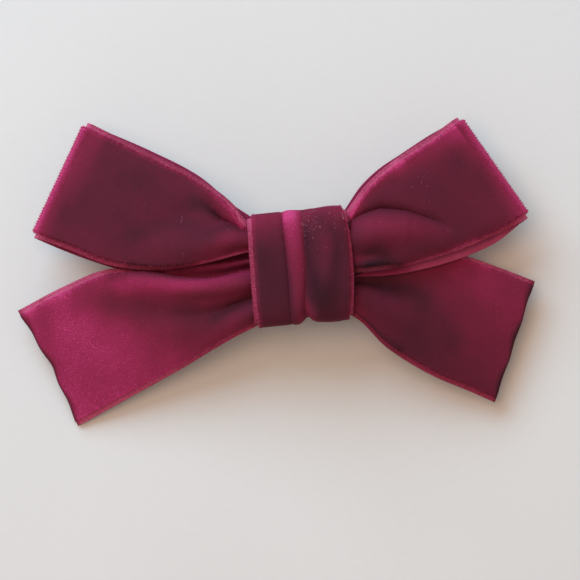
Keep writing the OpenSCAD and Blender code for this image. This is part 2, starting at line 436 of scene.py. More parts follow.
def run_along(curve):
    """How far along the curve each of its points is."""
    return np.concatenate([[0], np.cumsum(np.linalg.norm(np.diff(curve, axis=0), axis=1))])


def even_steps(curve, count):
    """The curve again, with its points at even distances."""
    run = run_along(curve)
    wanted = np.linspace(0, run[-1], count)
    return np.stack([np.interp(wanted, run, curve[:, k]) for k in range(3)], axis=1)


def path_length(curve):
    return np.linalg.norm(np.diff(curve, axis=0), axis=1).sum()


def unit(vectors):
    """Vectors along the last axis, each made one long."""
    return vectors / np.maximum(np.linalg.norm(vectors, axis=-1, keepdims=True), 1e-9)


def column_places():
    """Where the columns of a ribbon's mesh lie, in mm from the first selvage."""
    edge = np.linspace(0, SELVAGE_W, 6)[:-1]
    shoulder = SELVAGE_W + SHOULDER_W * np.array([0, 0.3, 0.65, 1.0])
    side = np.concatenate([edge, shoulder])
    inner = np.linspace(side[-1], RIBBON_W - side[-1], 39)[1:-1]
    return np.concatenate([side, inner, (RIBBON_W - side)[::-1]])


# For each column, its place across the ribbon, and how far it is from the nearer selvage.
COLUMNS = column_places()
INSET = np.minimum(COLUMNS, RIBBON_W - COLUMNS)
SHOULDER = (INSET > SELVAGE_W) & (INSET < SELVAGE_W + SHOULDER_W + FUZZ_MARGIN)


def crosswise(rows):
    """Each row's points moved along the row to the columns' places, by length."""
    steps = np.linalg.norm(np.diff(rows, axis=1), axis=2)
    run = np.concatenate([np.zeros((len(rows), 1)), np.cumsum(steps, axis=1)], axis=1)
    grid = np.empty((len(rows), len(COLUMNS), 3))
    for r, (row, length) in enumerate(zip(rows, run)):
        spare = (length[-1] - RIBBON_W) / 2
        wanted = np.where(COLUMNS < RIBBON_W / 2, COLUMNS, COLUMNS - RIBBON_W)
        edge = SELVAGE_W + SHOULDER_W
        squeeze = max(0.2, (length[-1] - 2 * edge) / (RIBBON_W - 2 * edge))
        if length[-1] < 4 * edge:
            wanted = COLUMNS * length[-1] / RIBBON_W
        else:
            inside = (COLUMNS > edge) & (COLUMNS < RIBBON_W - edge)
            wanted = np.where(COLUMNS <= edge, COLUMNS, COLUMNS + 2 * spare)
            wanted = np.where(inside, edge + (COLUMNS - edge) * squeeze, wanted)
        for k in range(3):
            grid[r, :, k] = np.interp(wanted, length, row[:, k])
    return grid


def grid_normals(grid):
    down = np.gradient(grid, axis=0)
    over = np.gradient(grid, axis=1)
    return unit(np.cross(down, over))


def blurred(values, times):
    """Rows and columns averaged with their neighbours, a few times."""
    for _ in range(times):
        padded = np.pad(values, ((1, 1), (1, 1), (0, 0)), mode="edge")
        values = (padded[:-2, 1:-1] + padded[2:, 1:-1] + padded[1:-1, :-2] + padded[1:-1, 2:]
                  + 2 * values) / 6
    return values


def wavy(count, wave):
    """A smooth random line of count values, about -1 to 1, with waves of some rows."""
    coarse = RANDOM.normal(0, 0.5, int(count / wave) + 4)
    return np.interp(np.arange(count) / wave, np.arange(len(coarse)), coarse)


def pile_heights(count):
    """How far the top of the cloth stands over its middle, for each row and column."""
    heights = np.empty((count, len(COLUMNS)))
    jitter_a = 0.10 * wavy(count, 2.2)
    jitter_b = 0.10 * wavy(count, 2.2)
    for c, inset in enumerate(INSET):
        jitter = jitter_a if c < len(COLUMNS) / 2 else jitter_b
        t = np.clip((inset - SELVAGE_W - jitter) / SHOULDER_W, 0, 1)
        heights[:, c] = CLOTH_HALF + PILE_H * np.sqrt(1 - (1 - t) ** 2)
    standing = INSET > SELVAGE_W + SHOULDER_W / 2
    heights[:, standing] += 0.012 * RANDOM.normal(0, 1, (count, standing.sum()))
    return heights


# ---- mesh of a ribbon


def store(mesh, key, values):
    """Keeps one value for each point of a mesh, for its material to read."""
    attribute = mesh.attributes.new(key, "FLOAT", "POINT")
    attribute.data.foreach_set("value", values.astype(np.float32))


def new_object(name, vertices, faces, values, materials):
    """An object in the scene from points in mm, with named values for its points and its materials."""
    mesh = bpy.data.meshes.new(name)
    mesh.from_pydata((vertices * MM).tolist(), [], faces)
    for key, value in values.items():
        store(mesh, key, value)
    for material in materials:
        mesh.materials.append(material)
    obj = bpy.data.objects.new(name, mesh)
    bpy.context.scene.collection.objects.link(obj)
    return obj


def smooth_shaded(mesh):
    mesh.polygons.foreach_set("use_smooth", np.ones(len(mesh.polygons), bool))


def scalloped(grid, along):
    """The grid with the edges of both selvages waved in and out."""
    scallop = SCALLOP_DEPTH * np.cos(2 * math.pi * along / SCALLOP_PITCH)
    grid = grid.copy()
    for edge, second, inner in ((0, 1, 3), (-1, -2, -4)):
        outward = unit(grid[:, edge] - grid[:, inner])
        grid[:, edge] += scallop[:, None] * outward
        grid[:, second] += 0.7 * scallop[:, None] * outward
    return grid


def ribbon_mesh(name, grid, nap_and_painted_shading, under=None, sealed_end=False):
    """A closed mesh of velvet ribbon about its cloth's middle surface."""
    if under is None:
        under = np.full(nap_and_painted_shading.shape, 0.5)
    rows, cols = grid.shape[:2]
    normal = grid_normals(blurred(grid, 3))
    along = run_along(grid[:, cols // 2])
    grid = scalloped(grid, along)
    heights = pile_heights(rows)
    if sealed_end:
        inset = (along[-1] - along)[:, None] + 0.15 * wavy(rows, 1.5)[:, None]
        melt = np.clip(inset / 0.8, 0.0, 1.0)
        heights = CLOTH_HALF + (heights - CLOTH_HALF) * np.sqrt(1 - (1 - melt) ** 2)
    top = grid + normal * heights[:, :, None]
    rib = 0.03 * np.cos(2 * math.pi * along / SCALLOP_PITCH)
    edge = INSET <= SELVAGE_W
    top[:, edge] += normal[:, edge] * rib[:, None, None]
    low = grid - normal * CLOTH_HALF
    vertices = np.concatenate([top.reshape(-1, 3), low.reshape(-1, 3)])
    faces, kinds = ribbon_faces(rows, cols)
    # The pile's and the underside's tones, painted light and shade included, for the materials to read.
    values = {
        "nap_and_painted_shading": np.concatenate([nap_and_painted_shading.reshape(-1), under.reshape(-1)]),
        "along": np.tile(np.repeat(along, cols), 2),
        "across": np.tile(np.tile(COLUMNS, rows), 2),
    }
    obj = new_object(name, vertices, faces, values, VELVET)
    obj.data.polygons.foreach_set("material_index", kinds)
    smooth_shaded(obj.data)
    return obj, top, normal


def ribbon_faces(rows, cols):
    """The faces of the top, the underside, the two selvages and the two ends, with their materials."""
    low = rows * cols
    faces = []
    kinds = []
    for r in range(rows - 1):
        for c in range(cols - 1):
            a = r * cols + c
            faces.append((a, a + cols, a + cols + 1, a + 1))
            middle = (INSET[c] + INSET[c + 1]) / 2
            kinds.append(SELVAGE if middle < SELVAGE_W else PILE)
            faces.append((low + a, low + a + 1, low + a + cols + 1, low + a + cols))
            kinds.append(BACK)
        a = r * cols
        faces.append((a, low + a, low + a + cols, a + cols))
        kinds.append(SELVAGE)
        b = a + cols - 1
        faces.append((b, b + cols, low + b + cols, low + b))
        kinds.append(SELVAGE)
    last = (rows - 1) * cols
    for c in range(cols - 1):
        faces.append((c, c + 1, low + c + 1, low + c))
        kinds.append(SEALED)
        faces.append((last + c, low + last + c, low + last + c + 1, last + c + 1))
        kinds.append(SEALED)
    return faces, kinds


# ---- shapes on the cloth


def path_shape(u, v, points, width, heights):
    """A soft ridge, or a valley below 0, along a path in shares along and across the cloth."""
    scale = np.array([1.6, 1.0])
    best = np.zeros(np.broadcast(u, v).shape)
    for start, end, h0, h1 in zip(points[:-1], points[1:], heights[:-1], heights[1:]):
        a = np.array(start) * scale
        d = np.array(end) * scale - a
        du = u * scale[0] - a[0]
        dv = v * scale[1] - a[1]
        t = np.clip((du * d[0] + dv * d[1]) / (d @ d), 0, 1)
        distance = np.hypot(du - t * d[0], dv - t * d[1])
        value = (h0 + (h1 - h0) * t) * np.exp(-((distance / width) ** 2))
        best = np.where(np.abs(value) > np.abs(best), value, best)
    return best


def shaped(u, v, shapes):
    total = np.zeros(np.broadcast(u, v).shape)
    for points, width, heights in shapes:
        total += path_shape(u, v, points, width, heights)
    return total


def layer_grid(edge_a, edge_b, crown, shapes, pleats=(0, 0.0, 0.3)):
    """The middle surface between two edges, raised into a crown, ridges and pleats."""
    length = (path_length(edge_a) + path_length(edge_b)) / 2
    count = int(length / ROW_STEP)
    a = even_steps(edge_a, count)
    b = even_steps(edge_b, count)
    u = np.linspace(0, 1, count)[:, None]
    v = np.linspace(0, 1, ACROSS_STEPS)[None, :]
    rows = a[:, None] * (1 - v[..., None]) + b[:, None] * v[..., None]
    lift = crown * np.sin(math.pi * u) ** 0.7 * (4 * v * (1 - v)) ** 0.8
    lift = lift + shaped(u, v, shapes)
    folds, depth, reach = pleats
    fade = np.clip(1 - u / reach, 0, 1) ** 1.5
    lift = lift + depth * fade * np.sin(2 * math.pi * folds * v) * np.sin(math.pi * v) ** 0.3
    rows[..., 2] += lift
    return rows


def fold_rows(end_a, end_b, outward, radius, count=26):
    """The half turn between a loop's front layer, which ends at end_a to end_b, and its back layer."""
    v = np.linspace(0, 1, ACROSS_STEPS)[None, :, None]
    front = end_a * (1 - v) + end_b * v
    angle = np.linspace(0, math.pi, count)[1:-1, None, None]
    out = np.array([*outward, 0.0])
    up = np.array([0, 0, 1.0])
    return front - radius * up + radius * (np.sin(angle) * out + np.cos(angle) * up)


def outward_of(end_a, end_b, inside):
    """The level direction square to a fold line, away from a point inside."""
    line = (end_b - end_a)[:2]
    out = np.array([-line[1], line[0]]) / np.linalg.norm(line)
    middle = (end_a + end_b)[:2] / 2
    return out if (middle - inside[:2]) @ out > 0 else -out


def painted_edge_sheen(rows, sheen_shares, flip=False):
    """Painted sheen: the pile made lighter where it leans out over each selvage, in small tufts."""
    first, last = sheen_shares[::-1] if flip else sheen_shares
    painted_sheen = np.zeros((rows, len(COLUMNS)))
    shape = np.exp(-(((INSET - SELVAGE_W - 0.2) / 0.42) ** 2))
    half = COLUMNS < RIBBON_W / 2
    for side, amount in ((half, first), (~half, last)):
        tufts = 0.75 + 0.45 * wavy(rows, 2.4)
        painted_sheen[:, side] = amount * tufts[:, None] * shape[None, side]
    return painted_sheen


# ---- loose fibres


def fibres(name, roots, ways, lengths, radius, tones, material):
    """Thin closed three-sided spikes, one for each root."""
    count = len(roots)
    ways = unit(ways)
    side = unit(np.cross(ways, RANDOM.normal(0, 1, (count, 3))))
    other = np.cross(ways, side)
    corners = []
    for k in range(3):
        angle = 2 * math.pi * k / 3
        corners.append(roots + radius * (math.cos(angle) * side + math.sin(angle) * other))
    corners.append(roots + ways * lengths[:, None])
    vertices = np.stack(corners, axis=1).reshape(-1, 3)
    first = 4 * np.arange(count)[:, None]
    pattern = np.array([[0, 1, 3], [1, 2, 3], [2, 0, 3], [2, 1, 0]])
    faces = (first[:, None] + pattern[None]).reshape(-1, 3)
    return new_object(name, vertices, faces.tolist(), {"nap_and_painted_shading": np.repeat(tones, 4)}, [material])


def pile_fibres(top, normal, nap_and_painted_shading, weights, count, length):
    """Fibres that stand out of the pile where the weights say: roots, ways, lengths and tones."""
    share = weights.reshape(-1) / weights.sum()
    picked = RANDOM.choice(len(share), count, p=share)
    roots = top.reshape(-1, 3)[picked] - 0.12 * normal.reshape(-1, 3)[picked]
    roots = roots + RANDOM.normal(0, 0.09, (count, 3))
    ways = normal.reshape(-1, 3)[picked] + RANDOM.normal(0, 0.35, (count, 3))
    lengths = length * RANDOM.uniform(0.5, 1.15, count)
    # The fibres lighter than the pile under them: painted sheen.
    return roots, ways, lengths, nap_and_painted_shading.reshape(-1)[picked] + 0.22


def edge_tufts(top, normal, nap_and_painted_shading, length):
    """Fibres of the outermost tufts, which lean out over the two selvages."""
    parts = []
    rows = len(top)
    for first, inward in ((6, 1), (-7, -1)):
        clumps = np.clip(1.0 + 0.8 * wavy(rows, 3.0), 0.4, 1.7)
        for level in range(3):
            column = first + inward * (level % 2)
            out = unit(top[:, first - inward] - top[:, first + 2 * inward])
            roots = top[:, column] + RANDOM.normal(0, 0.07, (rows, 3)) - 0.08 * normal[:, column]
            ways = (0.9 - 0.3 * level) * out + 0.5 * normal[:, column]
            ways = ways + RANDOM.normal(0, 0.22, (rows, 3))
            lengths = length * clumps * RANDOM.uniform(0.6, 1.1, rows)
            # Outer tufts lighter than the pile, and the longer clumps lighter still: painted sheen.
            parts.append((roots, ways, lengths, nap_and_painted_shading[:, column] + 0.10 + 0.22 * (clumps - 0.7)))
    return [np.concatenate(values) for values in zip(*parts)]


def fuzz_piece(name, top, normal, tone, weights, count, length, tuft_length):
    """A section's loose fibres as one piece: those on its pile, and its outermost tufts."""
    sets = [
        pile_fibres(top, normal, tone, weights, count, length),
        edge_tufts(top, normal, tone, tuft_length),
    ]
    roots, ways, lengths, tones = [np.concatenate(values) for values in zip(*sets)]
    obj = fibres(name, roots, ways, lengths, 0.045, tones, FIBRE)
    finish_piece(obj, None)
    return obj


def strands(name, paths, radius, sides, across, material):
    """Closed threads along paths; across is a direction that no path follows."""
    vertices = []
    faces = []
    for path in paths:
        start = len(vertices)
        count = len(path)
        way = unit(np.gradient(path, axis=0))
        side = unit(np.cross(way, across))
        other = np.cross(way, side)
        for r in range(count):
            for k in range(sides):
                angle = 2 * math.pi * k / sides
                vertices.append(path[r] + radius * (math.cos(angle) * side[r] + math.sin(angle) * other[r]))
        for r in range(count - 1):
            for k in range(sides):
                a = start + sides * r + k
                b = start + sides * r + (k + 1) % sides
                faces.append((a, b, b + sides, a + sides))
        faces.append(tuple(range(start, start + sides))[::-1])
        last = start + sides * (count - 1)
        faces.append(tuple(range(last, last + sides)))
    return new_object(name, np.array(vertices), faces, {}, [material])


def lint_on(name, top, normal, spots, count):
    """Stray fibres that cling to the pile near some spots, in shares of the rows and the columns."""
    rows, cols = top.shape[:2]
    paths = []
    for _ in range(count):
        u, v, spread_u, spread_v = spots[RANDOM.integers(len(spots))]
        r = int(np.clip((u + RANDOM.normal(0, spread_u)) * rows, 3, rows - 4))
        c = int(np.clip((v + RANDOM.normal(0, spread_v)) * cols, 8, cols - 9))
        tangent = np.cross(normal[r, c], RANDOM.normal(0, 1, 3))
        tangent /= np.linalg.norm(tangent)
        bend = np.cross(normal[r, c], tangent) * RANDOM.normal(0, 0.4)
        length = RANDOM.uniform(0.15, 0.5) if RANDOM.random() < 0.96 else RANDOM.uniform(0.9, 1.8)
        t = np.linspace(-0.5, 0.5, 6)[:, None] * length
        lift = 0.02 + 0.06 * RANDOM.random()
        paths.append(top[r, c] + t * tangent + (t**2) * bend / length * 2 + lift * normal[r, c])
    obj = strands(name, paths, 0.024, 3, [0.31, 0.22, 0.93], LINT)
    finish_piece(obj, None)
    return obj


# ---- the bow


def finish_piece(obj, node):
    """The piece rides on the bow's body, and stands for a CAD node if one is given."""
    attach(obj, "bow_and_base")
    if node:
        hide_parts(node)


def column_shares(flip):
    """Each column's place across the ribbon, 0 to 1, from its other selvage if the grid is flipped."""
    v = COLUMNS / RIBBON_W
    return (1 - v if flip else v)[None, :]


def fuzz_weights(shape, inner, shoulder):
    """How likely a fibre is at each point of the pile: on its face, and on its shoulders."""
    weights = np.full(shape, inner)
    weights[:, SHOULDER] = shoulder
    weights[:, INSET <= SELVAGE_W] = 0
    return weights


def loop_grid(name, spec):
    """The front layer from the knot to the fold, the fold, and the back layer again to the knot."""
    front_a = smooth_path(placed(name, spec["front_a"]))
    front_b = smooth_path(placed(name, spec["front_b"]))
    radius = spec["radius"]
    front = layer_grid(front_a, front_b, spec["crown"], spec["shapes"], spec["pleats"])
    inside = (front_a[0] + front_b[0]) / 2
    out = outward_of(front_a[-1], front_b[-1], inside)
    turn = fold_rows(front_a[-1], front_b[-1], out, radius)
    drop = np.array([0, 0, 2 * radius])
    back_a = smooth_path([front_a[-1] - drop, *placed(name, spec["back_a"])])
    back_b = smooth_path([front_b[-1] - drop, *placed(name, spec["back_b"])])
    back = layer_grid(back_a, back_b, -spec["back_crown"], spec["back_shapes"])
    grid = crosswise(np.concatenate([front, turn, back[1:]]))
    if spec["flip"]:
        grid = grid[:, ::-1]
    return grid, len(front), len(back) - 1


def loop_tones(spec, rows, n_front, n_back):
    """How light the pile and the underside are, at each row and column of a loop, with painted light and
    shade.
    """
    v = column_shares(spec["flip"])
    row = np.arange(rows)
    tone = np.full((rows, len(COLUMNS)), spec["tone"])
    tone[:n_front] += shaped(np.linspace(0, 1, n_front)[:, None], v, spec["nap_and_painted_shading"])
    # Painted sheen: the pile lighter round the fold, where the cloth turns away.
    fade = np.clip(1 - np.abs(row - n_front - 8) / (3.4 / ROW_STEP), 0, 1)
    tone += 0.34 * fade[:, None] ** 1.3
    tone += 0.26 * np.exp(-(((row - n_front - 7) * ROW_STEP / 0.7) ** 2))[:, None]
    tone[n_front + 12:] = spec["tone"] + 0.1
    tone += painted_edge_sheen(rows, spec["painted_sheen"], spec["flip"])
    # The underside's tone, with painted shade inside the loop and painted highlights on its folds.
    under = np.full(tone.shape, 0.60)
    under[-n_back:] += shaped(np.linspace(0, 1, n_back)[:, None], v, spec["under"])
    return tone, under


def build_loop(name, spec):
    grid, n_front, n_back = loop_grid(name, spec)
    rows = len(grid)
    tone, under = loop_tones(spec, rows, n_front, n_back)
    obj, top, normal = ribbon_mesh(name + "_velvet", grid, tone, under)
    finish_piece(obj, name)
    pile = INSET > SELVAGE_W + 0.1
    weights = fuzz_weights(tone.shape, 0.0004, 0.6)
    near_fold = np.abs(np.arange(rows) - n_front - 12) < 12
    weights[np.ix_(near_fold, pile)] = 2.6
    weights[:, ~pile] = 0
    fuzz = fuzz_piece(name + "_fibres", top, normal, tone, weights, spec["fibres"], 0.38, 0.40)
    lint = lint_on(name + "_lint", top[:n_front], normal[:n_front], spec["lint"], 10)


def tail_tone(spec, rows):
    """How light the pile is at each row and column of a tail, darkest at its sealed end, with painted light
    and shade: darker by the knot, lighter towards the end, painted creases and crowns, and painted sheen by
    the selvages.
    """
    v = column_shares(spec["flip"])
    u = np.linspace(0, 1, rows)[:, None]
    near, far, start, end = spec["tone"]
    t = np.clip((u - start) / (end - start), 0, 1)
    tone = near + (far - near) * t * t * (3 - 2 * t) + shaped(u, v, spec["nap_and_painted_shading"])
    tone += painted_edge_sheen(rows, spec["painted_sheen"], spec["flip"])
    from_end = (rows - 1 - np.arange(rows))[:, None] * ROW_STEP
    tone -= 0.45 * np.exp(-((from_end / (0.7 + 0.3 * np.sin(17 * v))) ** 2))
    return tone


def build_tail(name, spec):
    """A tail: one layer from the knot to its cut end."""
    edge_a = smooth_path(placed(name, spec["edge_a"]))
    edge_b = smooth_path(placed(name, spec["edge_b"]))
    rows = layer_grid(edge_a, edge_b, spec["crown"], spec["shapes"], spec["pleats"])
    grid = crosswise(bend_end(rows, spec["end_kink"]))
    if spec["flip"]:
        grid = grid[:, ::-1]
    tone = tail_tone(spec, len(grid))
    obj, top, normal = ribbon_mesh(name + "_velvet", grid, tone, sealed_end=True)
    finish_piece(obj, name)
    weights = fuzz_weights(tone.shape, 0.0006, 0.6)
    weights[-5:] = 0
    fuzz = fuzz_piece(name + "_fibres", top, normal, tone, weights, spec["fibres"], 0.24, 0.26)


def bend_end(rows, kink):
    """Moves the last rows so that the cut end isn't one straight line."""
    place, depth, ripple = kink
    v = np.linspace(0, 1, rows.shape[1])
    way = unit(rows[-1] - rows[-20])
    shift = depth * np.maximum(0, 1 - np.abs(v - place) / np.where(v < place, place, 1 - place))
    shift = shift + ripple * np.sin(2 * math.pi * 3.3 * v + 0.8)
    share = np.clip(np.linspace(-9, 1, len(rows)), 0, 1) ** 1.2
    return rows + share[:, None, None] * shift[None, :, None] * way[None]


def knot_profile():
    """The wrap across its width: mm from its left selvage and mm out from the ring, for each column."""
    points = np.array([
        (0, 0.2), (1.8, 0.45), (4.6, 0.5), (6.9, 0.35), (8.0, -0.1), (8.2, 0.4), (8.6, 0.8),
        (9.2, 1.05), (10.0, 0.9), (10.7, 0.55), (11.3, 0.3), (12.0, 0.45), (13.2, 1.0), (15.6, 1.6),
        (18.3, 1.3), (20.1, 0.7), (WRAP_W, 0.1),
    ])
    curve = smooth_path(np.column_stack([points, np.zeros(len(points))]), 200)
    profile = crosswise(curve[None])[0]
    return profile[:, 0][None, :], profile[:, 1][None, :]


def bell(value, centre, width, power=2):
    """1 at the centre, falling smoothly to 0 about a width away."""
    return np.exp(-(np.abs((value - centre) / width) ** power))


def knot_rows(q, out, t):
    """The wrap's middle surface: rows round the ring, columns across the ribbon."""
    low, high = node_box("knot_wrap")
    centre_y = (low[1] + high[1]) / 2
    centre_z = (low[2] + high[2]) / 2
    half_y = (high[1] - low[1]) / 2 - CLOTH_HALF - PILE_H - 0.1
    half_z = (high[2] - low[2]) / 2 - CLOTH_HALF - PILE_H - 0.5
    across = q / WRAP_W
    exponent = 2 / 3.2
    cy = np.sign(np.cos(t)) * np.abs(np.cos(t)) ** exponent
    cz = np.sign(np.sin(t)) * np.abs(np.sin(t)) ** exponent
    front = 0.35 + 0.65 * np.clip(np.sin(t) + 0.35, 0, 1)
    spiral = 0.5 * np.clip((t + 0.1 * math.pi) / (1.2 * math.pi), 0, 1.0) - 0.45
    valley = -0.45 * bell(q, 11.7, 0.9) * np.clip(t / math.pi, 0, 1) * front
    notch = -1.5 * bell(q, 12.1, 0.9) * bell(t, 0.99 * math.pi, 0.5)
    tuck = 0.5 * bell(q, 13.7, 0.8) * bell(t, 0.86 * math.pi, 0.25)
    dents = 0.20 * np.sin(2.3 * t + 0.5 * q - 2.9) * bell(q, 15.3, 3.5)
    bumps = spiral + valley + notch + tuck + dents
    y = centre_y - 0.45 + (-0.95 + 1.9 * across) + cy * (half_y + 0.8 * bumps + 0.35 * out * front)
    z = centre_z + cz * (half_z + bumps + out * front)
    lean = (y - centre_y) / ((high[1] - low[1]) / 2)
    left = low[0] + 0.05 - 0.80 * lean + 0.15 * lean**2
    right = high[0] - 0.75 * lean - 0.9 * lean**2
    slant = -0.40 * lean * bell(q, 9.0, 3.0)
    narrowing = (0.8 * lean - 0.4 * lean**2) * bell(q, 11.0, 1.6)
    x = left + (right - left) * across + slant + narrowing
    return np.stack(np.broadcast_arrays(x, y, z), axis=2), lean


def knot_tone(q, t, lean):
    """The wrap's painted tone: dark, with a painted highlight along the ridge where the ribbon is tucked,
    brightest at the top, and patches of painted light and shade mixed with mottling.
    """
    tone = np.full(np.broadcast(q, t).shape, 0.27)
    rise = np.clip((lean + 0.8) / 1.6, 0, 1)
    ridge = 0.18 + 0.30 * rise
    tone = tone + ridge * bell(q, 9.95 - 0.75 * rise, 1.10 + 0.45 * rise, 3)
    for amount, place, width, level, reach in KNOT_MOTTLING_AND_SHADING:
        tone = tone + amount * bell(q, place, width) * bell(lean, level, reach)
    # Painted highlights: at the foot of the tuck, by both selvages, and round the top of the ring.
    tone = tone + 0.32 * bell(q + 3.0 * (lean + 0.8), 12.3, 1.0) * bell(lean, -0.8, 0.2)
    tone = tone + 0.10 * bell(q, 0.3, 0.9) + 0.12 * bell(q, WRAP_W - 0.3, 0.8)
    return tone + 0.26 * bell(t, 0.42, 0.55) + 0.05 * bell(t, math.pi - 0.45, 0.25)


def build_knot():
    """The ribbon wrapped once round the middle, with its ends overlapping underneath."""
    q, out = knot_profile()
    t = np.linspace(-0.62 * math.pi, 1.62 * math.pi, 360)[:, None]
    grid, lean = knot_rows(q, out, t)
    # Painted sheen along both selvages.
    tone = knot_tone(q, t, lean) + painted_edge_sheen(len(grid), (0.22, 0.16))
    obj, top, normal = ribbon_mesh("knot_wrap_velvet", grid, tone)
    finish_piece(obj, "knot_wrap")
    weights = fuzz_weights(tone.shape, 0.002, 0.5)
    fuzz = fuzz_piece("knot_wrap_fibres", top, normal, tone, weights, 2600, 0.26, 0.28)
    lint = lint_on("knot_wrap_lint", top, normal, KNOT_LINT, 190)


def build_middle():
    """The ribbon's middle, gathered: flattened layers with uneven soft folds, drawn in by the thread."""
    low, high = node_box("gathered_middle")
    middle = (low + high) / 2
    layers = 4
    x = np.linspace(low[0] + 0.6, high[0] - 0.6, 60)[:, None]
    v = np.linspace(0, 1, ACROSS_STEPS)[None, :]
    waist = 1 - 0.07 * bell(x, middle[0], 3.5)
    made = []
    for i, level in enumerate(np.linspace(low[2] + 1.1, high[2] - 1.3, layers)):
        half = (high[1] - low[1]) / 2 - 0.35 - 0.5 * RANDOM.random()
        y = middle[1] + half * (2 * v - 1) * waist
        shift, bend, twist = RANDOM.uniform(0, 6.28, 3)
        wave = 0.22 * np.sin(2 * math.pi * (2.2 + 0.5 * i) * v + shift + 0.05 * x)
        wave = wave + 0.07 * np.sin(2 * math.pi * 5.3 * v + bend - 0.08 * x)
        edge = 0.45 * (2 * v - 1) ** 6 * np.sin(twist)
        rows = np.stack(np.broadcast_arrays(x, y, level + wave + edge), axis=2)
        grid = crosswise(rows)
        obj, _, _ = ribbon_mesh(f"gathered_layer_{i}", grid, np.full(grid.shape[:2], 0.22))
        made.append(obj)
    bpy.ops.object.select_all(action="DESELECT")
    for obj in made:
        obj.select_set(True)
    bpy.context.view_layer.objects.active = made[0]
    bpy.ops.object.join()
    obj = made[0]
    obj.name = "gathered_ribbon"
    finish_piece(obj, "gathered_middle")


def build_thread():
    """Thread wound tightly round the gathered middle, side by side and a little unevenly."""
    low, high = node_box("binding_thread")
    radius = 0.22
    turns = int((high[0] - low[0]) / (2.1 * radius)) - 1
    t = np.linspace(0, 2 * math.pi * turns, 64 * turns)
    middle = (low + high) / 2
    half = (high - low) / 2 - radius - 0.04
    jitter = np.interp(t, np.linspace(0, t[-1], 5 * turns), RANDOM.normal(0, 0.05, 5 * turns))
    x = np.linspace(low[0] + radius, high[0] - radius, len(t)) + jitter
    power = 2 / 2.8
    y = middle[1] + half[1] * np.sign(np.cos(t)) * np.abs(np.cos(t)) ** power
    z = middle[2] + half[2] * np.sign(np.sin(t)) * np.abs(np.sin(t)) ** power
    path = even_steps(np.stack([x, y, z], axis=1), 60 * turns)
    sides = 8
    obj = strands("thread_winding", [path], radius, sides, [1.0, 0, 0], thread_material())
    smooth_shaded(obj.data)
    angle = 2 * math.pi * np.arange(sides) / sides
    store(obj.data, "along", np.repeat(run_along(path), sides))
    store(obj.data, "across", np.tile(angle, len(path)))
    finish_piece(obj, "binding_thread")


def dress(material, *node_names):
    """Gives CAD nodes a material, and changes nothing else about them."""
    for node_name in node_names:
        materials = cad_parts[node_name].data.materials
        materials.clear()
        materials.append(material)


# ---- run


add_camera()
add_lights()
bpy.context.scene.view_settings.view_transform = "Standard"
bpy.context.scene.view_settings.look = "None"

bpy.ops.mesh.primitive_plane_add(size=FLOOR_SIZE, location=(0, 0, 0))
floor = bpy.context.object
floor.name = "floor"
floor.data.materials.append(floor_material())

VELVET = [velvet_material(), selvage_material(), back_material(), sealed_material()]
FIBRE = fringe_material()
LINT = lint_material()

